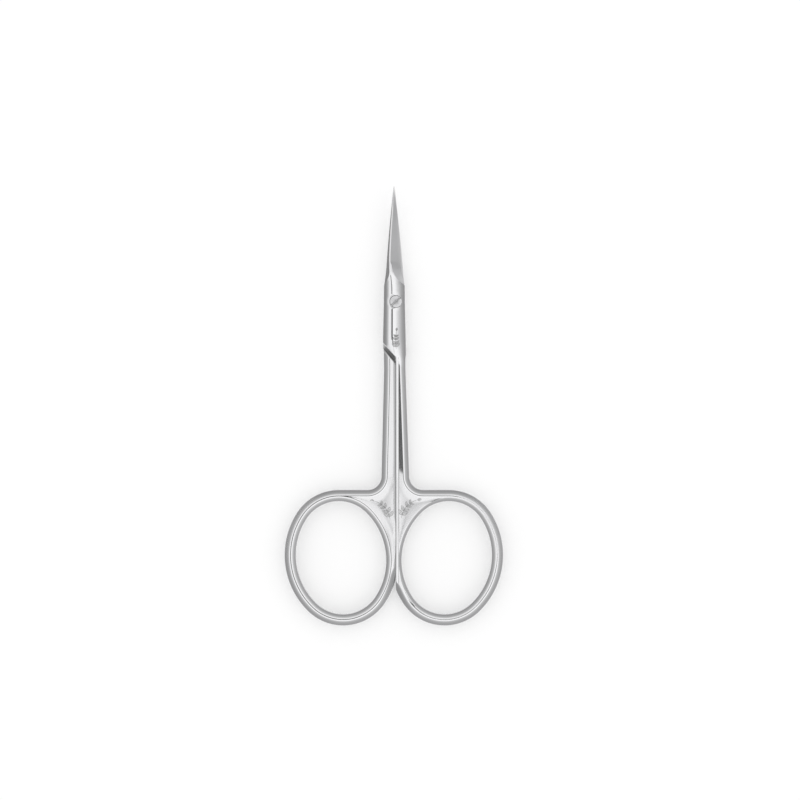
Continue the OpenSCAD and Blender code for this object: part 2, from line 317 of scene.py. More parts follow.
# What differs between the halves. Joint: half widths, crest, its land, blade root and tip,
# bore. Shank: neck and foot, bevel at the contact line and the wall beside it. Bow: centre,
# hidden inner crest, slope of the plate. The blade bends up (1) or down (-1).
UPPER = {
    "left": 2.86, "right": 2.16, "crest": 0.95, "land": 0.22, "land_above": 0.1,
    "spine": 2.3, "edge": 1.73, "tip_left": -0.5, "hole_r": BORE_R, "bend": 1,
    "neck": 2.45, "foot": 3.32, "shelf": 0.14, "shelf_z": 1.42, "shelf_w": 0.6, "wall": 0.85,
    "bow_x": 12.2, "side_crest": 0.8, "inner_crest": 0.76, "back_slope": -0.12,
}
LOWER = {
    "left": 2.16, "right": 2.86, "crest": 1.0, "land": 2.0, "land_above": 2.0,
    "spine": 1.73, "edge": 2.3, "tip_left": 0.36, "hole_r": THREAD_R, "bend": -1,
    "neck": 2.95, "foot": 3.56, "shelf": 0.42, "shelf_z": SHELF_Z, "shelf_w": 0.42, "wall": 0.5,
    "bow_x": 13.15, "side_crest": 0.6, "inner_crest": CREST_IN + CREST_LAND,
    "back_slope": BACK_SLOPE,
}


def mix(a, b, t):
    return a + (b - a) * t


def smoothstep(a, b, x):
    t = np.clip((x - a) / (b - a), 0, 1)
    return t * t * (3 - 2 * t)


def fade(span, y, origin=0):
    """0 where the span starts and 1 where it ends, both counted from the origin."""
    return smoothstep(origin + span[0], origin + span[1], y)


def smooth_curve(pieces, sigma):
    """A curve through runs of (ys, values), straight between them, rounded over about sigma."""
    ys, vs = (np.concatenate(run) for run in zip(*pieces))
    step = 0.05
    fine = np.arange(ys[0], ys[-1] + step, step)
    line = np.interp(fine, ys, vs)
    reach = int(4 * sigma / step)
    kernel = np.exp(-0.5 * (np.arange(-reach, reach + 1) * step / sigma) ** 2)
    kernel /= kernel.sum()
    head = 2 * line[0] - line[reach:0:-1]
    tail = 2 * line[-1] - line[-2:-reach - 2:-1]
    rounded = np.convolve(np.concatenate([head, line, tail]), kernel, "valid")
    return lambda y: np.interp(y, fine, rounded)


def side_curves(h):
    """Left and right side of the half, crest position and crest height, by y."""
    blade_y = np.linspace(BLADE_ROOT, BLADE_REACH, 13)
    t = (blade_y - BLADE_ROOT) / (BLADE_REACH - BLADE_ROOT)
    bulge = BLADE_BOW * 4 * t * (1 - t)
    left = mix(-h["spine"], h["tip_left"], t) - bulge
    right = mix(h["edge"] - EDGE_SETBACK, h["tip_left"] + TIP_W, t) + bulge
    crest = mix(left, right, RIDGE_PART + RIDGE_SPREAD * np.exp(-t / RIDGE_SPREAD_RUN))
    joint_y, inset = np.array(LEFT_SIDE).T
    xl = smooth_curve([(joint_y, inset - h["left"]), (blade_y, left)], SIDE_ROUND)
    joint_y, inset = np.array(RIGHT_SIDE).T
    hip = mix(h["right"] + JOINT_FLARE, h["neck"], HIP_PART)
    shank_y = [CORNER_Y - FOOT_RUN, CORNER_Y, NECK_Y, HIP_Y]
    shank_x = [h["foot"] + FOOT_FLARE, h["foot"], h["neck"], hip]
    xr = smooth_curve([(shank_y, shank_x), (joint_y, h["right"] - inset), (blade_y, right)],
                      SIDE_ROUND)
    turn_y, turn_x = np.array(CREST_TURN).T
    run_y, beyond = np.array(CREST_RUN).T
    xc = smooth_curve([(turn_y, turn_x), (run_y, -h["crest"] - beyond), (blade_y, crest)],
                      CREST_CURVE)
    lift = smooth_curve([np.array(CREST_LIFT).T], LIFT_ROUND)
    return xl, xr, xc, lift


def notch_line(x):
    return -NOTCH_Y - NOTCH_SLOPE * x


def shoulder_line(x):
    return -NOTCH_Y - NOTCH_GAP + NOTCH_SLOPE * x


def bow_points(angles, offset, bow_x):
    """Points beside the bow's centre line where its normal has the given angles."""
    a = np.asarray(angles, float) + BOW_TILT
    wrapped = (a + math.pi) % (2 * math.pi) - math.pi
    on_side = (np.abs(wrapped) <= JOIN) | (np.abs(wrapped) >= math.pi - JOIN)
    r = np.where(on_side, SIDE_R, BOW_END_R)
    cx = np.where(on_side, -SIDE_OFF * np.sign(np.cos(a)), 0.0)
    cy = np.where(on_side, 0.0, END_OFF * np.sign(np.sin(a)))
    px = cx + (r + offset) * np.cos(a)
    py = cy + (r + offset) * np.sin(a)
    c, s = math.cos(-BOW_TILT), math.sin(-BOW_TILT)
    return np.stack([bow_x + px * c - py * s, BOW_Y + px * s + py * c], 1)


def resample(points, step):
    """The polyline with points about one step apart."""
    points = np.asarray(points, float)
    seg = np.linalg.norm(np.diff(points, axis=0), axis=1)
    along = np.concatenate([[0], np.cumsum(seg)])
    n = max(1, int(round(along[-1] / step)))
    s = np.linspace(0, along[-1], n + 1)
    return np.stack([np.interp(s, along, points[:, 0]), np.interp(s, along, points[:, 1])], 1)


def separation_angle(h):
    """Angle on the bow's outer edge, below the gusset, where it leaves the contact line."""
    angles = np.radians(np.linspace(181, 269, 1761))
    x = bow_points(angles, HALF_W, h["bow_x"])[:, 0]
    return angles[np.argmax(x > CONTACT_X)]


def outline(h, curves):
    """Closed outline, anticlockwise, as named stretches of points."""
    xl, xr, _, _ = curves
    fine_y = np.arange(-14, BLADE_REACH - STATION, STATION)
    fine_y = np.append(fine_y, BLADE_REACH)
    left = np.stack([xl(fine_y), fine_y], 1)
    left = left[left[:, 1] >= notch_line(left[:, 0])]
    corner = left[0].copy()
    corner[1] = notch_line(corner[0])
    left = resample(np.concatenate([[corner], left[1:]])[::-1], STEP["left"])
    notch_end = np.array([CONTACT_X, notch_line(CONTACT_X)])
    notch = resample([corner, notch_end], STEP["notch"])
    sep = separation_angle(h)
    low = bow_points([sep], HALF_W, h["bow_x"])[0]
    low[0] = CONTACT_X
    shoulder_end = np.array([CONTACT_X, shoulder_line(CONTACT_X)])
    contact = np.concatenate([
        resample([notch_end, shoulder_end], STEP["notch"])[:-1],
        resample([shoulder_end, low], STEP["contact"])])
    arm = bow_points(np.arange(sep + 0.02, 2.5 * math.pi, ARM_STEP), HALF_W, h["bow_x"])
    top_start = bow_points([0.5 * math.pi], HALF_W, h["bow_x"])[0]
    corner_x = h["foot"] + ROOT_R
    top = resample([top_start, [corner_x, TOP_Y]], STEP["top"])
    fillet_a = np.linspace(1.5 * math.pi, math.pi, 17)
    fillet = np.stack([corner_x + ROOT_R * np.cos(fillet_a),
                       CORNER_Y + ROOT_R * np.sin(fillet_a)], 1)
    shank_y = np.arange(CORNER_Y, BLADE_REACH, STATION)
    right = np.stack([xr(shank_y), shank_y], 1)
    gap = right[:, 1] - shoulder_line(right[:, 0])
    k = int(np.argmax(gap[1:] > 0)) + 1
    t = gap[k - 1] / (gap[k - 1] - gap[k])
    step_pt = mix(right[k - 1], right[k], t)
    tip_right = np.array([[xr(BLADE_REACH), BLADE_REACH]])
    shank = resample(np.concatenate([right[:k], [step_pt]]), STEP["shank"])
    joint = resample(np.concatenate([[step_pt], right[k:], tip_right]), STEP["joint"])
    return {"left": left, "notch": notch, "contact": contact, "arm": arm, "top": top,
            "fillet": fillet, "shank": shank, "joint": joint}


def inward_normals(points):
    """Unit normals on the left of the direction of travel."""
    d = np.gradient(points, axis=0)
    d /= np.linalg.norm(d, axis=1)[:, None]
    return np.stack([-d[:, 1], d[:, 0]], 1)


def inside(points, loop):
    """True for each point inside the closed loop."""
    x, y = points[:, 0], points[:, 1]
    hit = np.zeros(len(points), bool)
    for (x1, y1), (x2, y2) in zip(loop, np.roll(loop, -1, 0)):
        if y1 == y2:
            continue
        cross = (y1 > y) != (y2 > y)
        hit ^= cross & (x < (x2 - x1) * (y - y1) / (y2 - y1) + x1)
    return hit


def distance_to(points, polylines):
    """Distance from each point to the nearest of the polylines."""
    a = np.concatenate([p[:-1] for p in polylines])
    b = np.concatenate([p[1:] for p in polylines])
    out = np.empty(len(points))
    ab = b - a
    len2 = np.maximum((ab**2).sum(1), 1e-12)
    for start in range(0, len(points), 400):
        p = points[start:start + 400, None, :]
        t = np.clip(((p - a) * ab).sum(2) / len2, 0, 1)
        near = a + ab * t[..., None]
        out[start:start + 400] = np.sqrt(((p - near) ** 2).sum(2).min(1))
    return out


def rise(x, y):
    """Height by which the blades curve up at a place."""
    r = np.hypot(x, y)
    up = TIP_RISE * (np.maximum(0, r - FLAT_R) / (BLADE_REACH - FLAT_R)) ** 2
    return np.where(y > 0, up, 0.0)


def soft_min(a, b, k):
    """The smaller of two values, rounded where they differ by less than k."""
    return np.minimum(a, b) - np.maximum(k - np.abs(a - b), 0) ** 2 / (4 * k)


def facet(d, crest):
    """Half thickness at distance d from the edge: rounded edge, facet, rounded crest."""
    u = np.maximum(crest - d - CREST_LAND, 0)
    z = CREST_H - FACET_SLOPE * (np.sqrt(u * u + CREST_ROUND**2) - CREST_ROUND)
    e = np.clip(1 - d / EDGE_ROUND, 0, 1)
    return z - EDGE_DROP * e * e - OUTSIDE_FALL * np.maximum(-d, 0)


def fall(s, slopes):
    """Drop at s, for a side of unit width whose slope is given at some places."""
    at = np.linspace(0, 1, 401)
    slope = np.interp(at, [p[0] for p in slopes], [p[1] for p in slopes])
    total = np.concatenate([[0], np.cumsum((slope[1:] + slope[:-1]) / 2 / 400)])
    return np.interp(s, at, total)


class Surface:
    """Upper and lower height of a half at any point of its plan."""

    def __init__(self, h, curves):
        self.h = h
        self.curves = curves
        self.part_y = float(bow_points([separation_angle(h)], HALF_W, h["bow_x"])[0, 1])
        y = np.array([FLANK_END])
        xl, xc = curves[0](y), self.ridge_x(y)
        side = self.body(xl, y)
        top = self.ridge_height(y, RIDGE_FALL) - FLANK_SLOPE * (xc - xl)
        self.flank_run = RIDGE_FALL + float((side - top)[0] / (BEVEL_TOP - FLANK_END))

    def bow_place(self, x, y):
        """Offset from the bow's centre line, and the direction of its normal."""
        c, s = math.cos(-BOW_TILT), math.sin(-BOW_TILT)
        dx, dy = x - self.h["bow_x"], y - BOW_Y
        px, py = dx * c + dy * s, dy * c - dx * s
        ax, ay = np.abs(px), np.abs(py)
        on_side = np.arctan2(ay, ax + SIDE_OFF) <= JOIN
        off = np.where(on_side, np.hypot(ax + SIDE_OFF, ay) - SIDE_R,
                       np.hypot(ax, ay - END_OFF) - BOW_END_R)
        nx = np.where(on_side, (ax + SIDE_OFF), ax) * np.sign(px)
        ny = np.where(on_side, ay, ay - END_OFF) * np.sign(py)
        angle = (np.arctan2(ny, nx) - BOW_TILT) % (2 * math.pi)
        return off, np.degrees(angle)

    def rail_distance(self, x, y):
        """Distance inward from the outer side of shank, fillet and top line."""
        corner_x = self.h["foot"] + ROOT_R
        shank = self.curves[1](y) - x
        fillet = np.hypot(x - corner_x, y - CORNER_Y) - ROOT_R
        d = np.where(x < corner_x, fillet, TOP_Y - y)
        return np.where(y > CORNER_Y, shank, d)

    def outer_distance(self, x, y, off, ang):
        """Distance from the outer side, which fades out towards the contact line."""
        d_ring = HALF_W - off
        above = np.maximum(y - self.part_y, 0) / WAIST_RUN
        web = np.minimum(self.rail_distance(x, y), d_ring + WAIST_CURVE * above**2)
        with_web = (ang > 90) & (ang < 270) | (y > TOP_Y)
        return np.where(with_web, np.maximum(d_ring, web), d_ring)

    def plate(self, x, y):
        """Inner facet, and the rest of bow, gusset and shank without the contact shelf."""
        off, ang = self.bow_place(x, y)
        d_in, d_out = off + HALF_W, self.outer_distance(x, y, off, ang)
        v_out = np.maximum(d_out - CREST_OUT - CREST_LAND, 0)
        v_in = np.maximum(d_in - self.h["inner_crest"], 0)
        v_side = np.maximum(x - CONTACT_X - self.h["side_crest"], 0)
        both = soft_min(soft_min(v_out, v_in, DISH_BLEND), v_side, DISH_BLEND)
        dish = DISH * (1 - np.exp(-np.maximum(both, 0) / DISH_RUN)) * fade(DISH_SPAN, y)
        dish = dish * fade(DISH_START, y, self.part_y)
        run = v_out
        if self.h["bend"] < 0:
            run = np.maximum(soft_min(v_out, v_in, RUN_BLEND), 0)
        slope = mix(self.h["back_slope"], BACK_SLOPE, fade(BACK_SPAN, y))
        back = soft_min(slope * run, np.full(len(run), BACK_DROP), BACK_BLEND)
        waist = fade(WAIST_START, y, self.part_y) * (ang > 90) * (ang < 270)
        waist = waist * (1 - fade(WAIST_END, y, self.part_y))
        back = back + WAIST_SLOPE * v_in * waist
        return facet(d_in, CREST_IN), facet(d_out, CREST_OUT) - back - dish

    def shelf(self, x, y):
        """Bevel along the contact line."""
        t = x - CONTACT_X
        e = np.clip(1 - t / SHELF_ROUND, 0, 1)
        slope, wall = self.h["shelf"], self.h["wall"]
        wall_rise = (wall - slope) * np.maximum(t - self.h["shelf_w"], 0)
        start = mix(self.h["shelf_z"], SHELF_Z, fade(SHELF_SPAN, y))
        return start + slope * t + wall_rise - SHELF_DROP * e * e

    def handle(self, x, y):
        """Half thickness of bow, gusset and shank."""
        inner, rest = self.plate(x, y)
        return np.minimum(np.minimum(inner, rest), self.shelf(x, y))

    def satin(self, x, y):
        """1 on the flat plates beside the bows, 0 on the bars."""
        off, _ = self.bow_place(x, y)
        d_out = self.rail_distance(x, y)
        back = np.minimum(off + HALF_W - self.h["inner_crest"], d_out - CREST_OUT)
        return smoothstep(*SATIN_WIDTH, back) * fade(SATIN_SPAN, y) * fade(SATIN_END_SPAN, y)

    def ridge_x(self, y):
        """The blade's ridge line, drawn on straight below the root."""
        fc = self.curves[2]
        y0, y1 = RIDGE_BASE
        slope = (fc(y1) - fc(y0)) / (y1 - y0)
        return np.where(y > y0, fc(y), fc(y0) + slope * (y - y0))

    def ridge_height(self, y, fall):
        """The blade's ridge height, drawn on with a given fall below the root."""
        below = RIDGE_H + fall * (BEVEL_TOP - y)
        return np.where(y < BEVEL_TOP, below, self.curves[3](y))

    def crest_lines(self, y):
        """Sides, crest and far side of the crest's land."""
        fl, fr, fc, _ = self.curves
        xl, xr, xc = fl(y), fr(y), fc(y)
        blade = mix(RIDGE_W, RIDGE_TIP_W, fade(RIDGE_TIP_SPAN, y))
        land = mix(self.h["land"], self.h["land_above"], fade(LAND_SPAN, y))
        land = mix(land, blade, fade(RIDGE_SPAN, y))
        return xl, xr, xc, xc + np.minimum(land, LAND_SHARE * (xr - xc))

    def body(self, x, y):
        """Forged surface of the joint above the mating surface."""
        xl, xr, xc, xd = self.crest_lines(y)
        lift = self.curves[3](y)
        wide = np.maximum(xc - xl, 1e-6)
        left = lift - wide * fall(np.clip((xc - x) / wide, 0, 1), LEFT_SLOPES)
        wide = np.maximum(xr - xd, 1e-6)
        right = lift - wide * fall(np.clip((x - xd) / wide, 0, 1), RIGHT_SLOPES)
        tilt = STRIP_SLOPE * fade(STRIP_SPAN, y)
        strip = lift - tilt * (x - xc)
        end = tilt * (xd - xc)
        return np.where(x < xc, left, np.where(x < xd, strip, right - end))

    def joint(self, x, y):
        """The forged surface, the ground flank and the ground bevel."""
        _, xr, xc, xd = self.crest_lines(y)
        body = self.body(x, y)
        flank = self.ridge_height(y, self.flank_run) - FLANK_SLOPE * (self.ridge_x(y) - x)
        strip_end = STRIP_SLOPE * (xd - xc) * fade(STRIP_SPAN, y)
        ridge = self.ridge_height(y, BEVEL_FALL) - strip_end
        edge = EDGE_T + EDGE_RISE * np.maximum(EDGE_RISE_Y - y, 0)
        across = np.clip((xr - x) / np.maximum(xr - xd, 1e-6), 0, 1)
        bevel = np.where((x > xd) & (y > 0), mix(edge, ridge, across), UNCUT)
        flank = np.where((x < xc + 0.01) & (y > 0), np.maximum(flank, EDGE_T), UNCUT)
        return body, flank, bevel

    def top(self, x, y):
        """Upper surface of the half: joint and blade, passing into shank and bow."""
        w = fade(SHANK_SPAN, y)
        body, flank, bevel = self.joint(x, np.maximum(y, JOINT_END_Y))
        z_joint = self.mating(x, y) + np.minimum(np.minimum(body, flank), bevel)
        z = z_joint * (1 - w) + (MID + self.handle(x, y)) * w
        t = (y - notch_line(x)) / math.hypot(1, NOTCH_SLOPE)
        e = np.clip(1 - t / NOTCH_ROUND, 0, 1) * (x < CONTACT_X + 0.02)
        z = z - NOTCH_DROP * e * e
        if self.h["bend"] > 0:
            z = np.minimum(z, RIM_Z + CONE_SLOPE * np.maximum(np.hypot(x, y) - SEAT_R, 0))
        return z

    def corner_normals(self, height, xy, tris, facing):
        """Unit normals in each corner of each triangle, taken just inside the triangle."""
        e = 0.0008
        corner = xy[tris]
        at = mix(corner, corner.mean(1, keepdims=True), 0.04).reshape(-1, 2)
        x, y = at[:, 0], at[:, 1]
        fx = (height(x + e, y) - height(x - e, y)) / (2 * e)
        fy = (height(x, y + e) - height(x, y - e)) / (2 * e)
        n = np.stack([-fx * facing, -fy * facing, np.full(len(x), float(facing))], 1)
        return (n / np.linalg.norm(n, axis=1)[:, None]).reshape(-1, 3, 3)

    def under(self, x, y):
        """Lower surface of shank and bow, rounded off at the shoulder."""
        t = (shoulder_line(x) - y) / math.hypot(1, NOTCH_SLOPE)
        e = np.clip(1 - t / SHOULDER_ROUND, 0, 1)
        return MID - self.handle(x, y) + SHOULDER_DROP * (1 - np.sqrt(np.maximum(0, 1 - e * e)))

    def mating(self, x, y):
        """Ground surface on which the halves slide."""
        return MATE + self.h["bend"] * rise(x, y)


def crossing(x, gap):
    """Where gap first rises through zero along x, or None."""
    k = np.nonzero((gap[:-1] < 0) & (gap[1:] >= 0))[0]
    if len(k) == 0:
        return None
    k = k[0]
    return mix(x[k], x[k + 1], gap[k] / (gap[k] - gap[k + 1]))


def side_rows(h, parts, sep):
    """Rows at fixed distances inside the opening and inside the outer side."""
    rows = []
    angles = np.linspace(0, 2 * math.pi, 241)
    for d in OPENING_ROWS + (h["inner_crest"],) + FACET_ROWS:
        rows.append(bow_points(angles, d - HALF_W, h["bow_x"]))
    corner = np.array([h["foot"] + ROOT_R, CORNER_Y])
    for d in OUTER_ROWS + SHANK_ROWS:
        on_arm = np.arange(sep + 0.01, 2.5 * math.pi, 2 * math.pi / 240)
        arm = bow_points(np.append(on_arm, 2.5 * math.pi), HALF_W - d, h["bow_x"])
        if d > CREST_OUT:
            arm = arm[-1:]
        top = resample([arm[-1], [corner[0], TOP_Y - d]], 0.3)
        a = np.linspace(1.5 * math.pi, math.pi, 25)
        bend = corner + (ROOT_R + d) * np.stack([np.cos(a), np.sin(a)], 1)
        shank = parts["shank"][1:] + inward_normals(parts["shank"])[1:] * d
        rows.append(np.concatenate([arm[:-1], top[:-1], bend, shank]))
    return rows


def contact_rows(surface, parts):
    """Rows along the contact line, and the edge between its bevel and the plate."""
    low, high = parts["contact"][-1][1], SEAM_TOP_Y
    y = np.arange(low + 0.1, high, CONTACT_STEP)
    offsets = BEVEL_ROWS + (surface.h["shelf_w"], surface.h["side_crest"]) + BESIDE_ROWS
    rows = [np.stack([np.full(len(y), CONTACT_X + d), y], 1) for d in offsets]
    found = {}
    for yy in np.arange(low - 3.0, high, 0.2):
        x = CONTACT_X + np.linspace(0.002, 3.5, 700)
        y = np.full(700, yy)
        inner, rest = surface.plate(x, y)
        gap = surface.shelf(x, y) - np.minimum(inner, rest)
        lines = {"top": gap, "foot": -gap}
        if yy < surface.part_y + 2 * WAIST_RUN:
            off, ang = surface.bow_place(x, y)
            d_out = surface.outer_distance(x, y, off, ang)
            for d in OUTER_ROWS:
                lines[d] = np.where(off > -0.2, d_out - d, -1)
        for key, values in lines.items():
            at = crossing(x, values)
            if at is not None and (key in ("top", "foot") or yy > surface.part_y):
                found.setdefault(key, []).append((at, yy))
    return rows + [np.array(line) for line in found.values() if len(line) > 1]


def plate_ridge(surface, h):
    """Edge between the inner facet and the plate, in the gusset."""
    line = []
    for a in np.radians(np.arange(92, 205, 1.0)):
        off = np.linspace(0.3 - HALF_W, 0.3, 300)
        p = bow_points(np.full(300, a), off, h["bow_x"])
        inner, rest = surface.plate(p[:, 0], p[:, 1])
        at = crossing(off, inner - rest - 1e-5)
        if at is not None:
            line.append(bow_points([a], at, h["bow_x"])[0])
    return np.array(line)


def joint_rows(h, surface):
    """Rows along the joint and the blade: crest, far side of its land, and between them."""
    ys = np.concatenate([np.arange(*JOINT_Y, JOINT_STEP),
                         np.arange(JOINT_Y[1], BLADE_REACH - 0.2, BLADE_STEP)])
    a, c, b, d = surface.crest_lines(ys)
    rows = []
    for start, end, steps in ((c, a, LEFT_PARTS), (d, b, RIGHT_PARTS)):
        last = 0.0
        for t in steps:
            ok = (np.abs(end - start) * (t - last) > LEAST_ROW_GAP) | (t == 0)
            ok &= np.abs(end - start) * (1 - t) > LEAST_ROW_GAP
            keep = np.nonzero(ok)[0]
            if len(keep) > 2:
                keep = np.arange(keep[0], keep[-1] + 1)
                rows.append(np.stack([mix(start, end, t), ys], 1)[keep])
            last = t
    return rows


def beside(line, d):
    """The straight line moved sideways by d, to its left."""
    line = np.asarray(line, float)
    along = (line[1] - line[0]) / np.linalg.norm(line[1] - line[0])
    return resample(line + d * np.array([-along[1], along[0]]), 0.2)


def cone_edge(surface):
    """Edge between the screw's countersink and the forged surface."""
    edge = []
    r = np.linspace(SEAT_R, CONE_REACH, 400)
    for a in np.arange(72) * 2 * math.pi / 72:
        x, y = r * math.cos(a), r * math.sin(a)
        body, flank, bevel = surface.joint(x, y)
        z = MATE + np.minimum(np.minimum(body, flank), bevel)
        at = crossing(r, RIM_Z + CONE_SLOPE * (r - SEAT_R) - z) or SEAT_R
        edge.append((at * math.cos(a), at * math.sin(a)))
    return np.array(edge)


def handle_points(h):
    """Loose points on the plate."""
    gx, gy = np.meshgrid(np.arange(PLATE_X, h["bow_x"], PLATE_STEP),
                         np.arange(*PLATE_Y, PLATE_STEP))
    gx = gx + PLATE_SHIFT * (np.round(gy / PLATE_STEP) % 2)
    return np.stack([gx.ravel(), gy.ravel()], 1)


def ground_lines(surface):
    """Lines where the ground flank and bevel meet the forged surface."""
    fl, fr, fc, _ = surface.curves
    left, right = [], []
    for y in np.arange(BLADE_REACH - 0.3, GROUND_Y, -0.2):
        x = np.linspace(fl(y) + 1e-4, fr(y) - 1e-4, 600)
        yy = np.full(600, y)
        body, flank, bevel = surface.joint(x, yy)
        at = crossing(x, flank - body)
        if at is not None and at > fl(y) + 0.03:
            left.append((at, y))
        at = crossing(x, body - bevel)
        if at is not None and at < fr(y) - 0.03:
            right.append((at, y))
    return np.array(left), np.array(right)


def kept_runs(line, loop, opening, hub):
    """The parts of a line inside the loop, and outside the opening and the hub."""
    ok = inside(line, loop) & ~inside(line, opening) & ~inside(line, hub)
    runs = np.split(np.arange(len(line)), np.nonzero(ok[1:] != ok[:-1])[0] + 1)
    return [line[run] for run in runs if ok[run[0]] and len(run) > 1]


def circle(r, n):
    """n points round the pivot axis."""
    a = np.arange(n) * 2 * math.pi / n
    return np.stack([r * np.cos(a), r * np.sin(a)], 1)


def triangulated(loops, lines, inner):
    """Plan triangulation with the loops and lines as edges; counter-clockwise triangles."""
    verts, edges = [], []
    for q in loops:
        base = len(verts)
        verts += [tuple(p) for p in q]
        edges += [(base + i, base + (i + 1) % len(q)) for i in range(len(q))]
    for q in lines:
        base = len(verts)
        verts += [tuple(p) for p in q]
        edges += [(base + i, base + i + 1) for i in range(len(q) - 1)]
    verts += [tuple(p) for p in inner]
    out = delaunay_2d_cdt([Vector(v) for v in verts], edges, [], 0, 1e-5)
    xy = np.array([[v[0], v[1]] for v in out[0]])
    tris = np.array(out[2])
    a, b, c = xy[tris[:, 0]], xy[tris[:, 1]], xy[tris[:, 2]]
    area = (b[:, 0] - a[:, 0]) * (c[:, 1] - a[:, 1]) - (b[:, 1] - a[:, 1]) * (c[:, 0] - a[:, 0])
    tris[area < 0] = tris[area < 0][:, ::-1]
    return xy, tris


def half_mesh(h):
    """Plan of the half and its surface functions, triangulated."""
    curves = side_curves(h)
    surface = Surface(h, curves)
    parts = outline(h, curves)
    loop = np.concatenate([part[:-1] for part in parts.values()] + [parts["joint"][-1:]])
    loop = loop[np.linalg.norm(np.roll(loop, -1, 0) - loop, axis=1) > 1e-4]
    opening = bow_points(np.arange(220) * 2 * math.pi / 220, -HALF_W, h["bow_x"])
    hole = circle(h["hole_r"], 48)
    shoulder = [[CONTACT_X, shoulder_line(CONTACT_X)], parts["shank"][-1]]
    loops = [loop, opening, hole]
    rows = side_rows(h, parts, separation_angle(h)) + contact_rows(surface, parts)
    rows += joint_rows(h, surface) + [q for q in ground_lines(surface) if len(q) > 1]
    hub = hole
    if h["bend"] > 0:
        hub = cone_edge(surface)
        loops += [circle(SEAT_R, 72), hub]
        rows.append(plate_ridge(surface, h))
    rows += [beside(shoulder, -d) for d in SHOULDER_ROWS]
    rows += [beside(parts["notch"][[0, -1]], d) for d in NOTCH_ROWS]
    lines = [resample(shoulder, STEP["notch"])]
    for q in rows:
        lines += kept_runs(q, loop, opening, hub * 1.02)
    borders = [np.concatenate([q, q[:1]]) for q in loops] + lines
    inner = np.concatenate([handle_points(h)] + [circle(r, 48) for r in BORE_RINGS])
    ok = inside(inner, loop) & ~inside(inner, opening) & ~inside(inner, hole)
    inner = inner[ok]
    least = np.where(inner[:, 1] < SEAM_TOP_Y, HANDLE_GAP, JOINT_GAP)
    inner = inner[distance_to(inner, borders) > least]
    xy, tris = triangulated(loops, lines, inner)
    mid = xy[tris].mean(1)
    ok = inside(mid, loop) & ~inside(mid, opening) & ~inside(mid, hole)
    return surface, xy, tris[ok], mid[ok], borders[:2]


class Skin:
    """Faces over a plan, whose points stand at a height for each kind of surface."""

    def __init__(self, xy, **heights):
        self.xy, self.heights = xy, heights
        self.used, self.coords = {}, []
        self.faces, self.finish, self.normals = [], [], []

    def vertex(self, kind, i):
        """Number of the vertex at point i of the plan on one kind of surface."""
        key = (kind, int(i))
        if key not in self.used:
            self.used[key] = len(self.coords)
            self.coords.append((*self.xy[i], self.heights[kind][i]))
        return self.used[key]

    def face(self, ring, finish, normals=None):
        """A face between numbered vertices; normals of zero length are left to Blender."""
        self.faces.append(ring)
        self.finish.append(int(finish))
        self.normals.extend(np.zeros((len(ring), 3)) if normals is None else normals)

    def add(self, corners, finish, normals=None):
        """A face between corners given as kind of surface and point of the plan."""
        self.face([self.vertex(*corner) for corner in corners], finish, normals)


def shared_edges(tris, labels):
    """For each edge of the plan, its ends and the label in each triangle beside it."""
    uses = {}
    for (a, b, c), label in zip(tris, labels):
        for e in ((a, b), (b, c), (c, a)):
            uses.setdefault((min(e), max(e)), []).append((e, label))
    return uses.values()


def wall(a, b, up, down, middle, has_middle):
    """Corners of the wall below an edge; an end that has one gets a middle corner too."""
    first = [(middle, a)] if has_middle[a] else []
    last = [(middle, b)] if has_middle[b] else []
    return [(up, a)] + first + [(down, a), (down, b)] + last + [(up, b)]


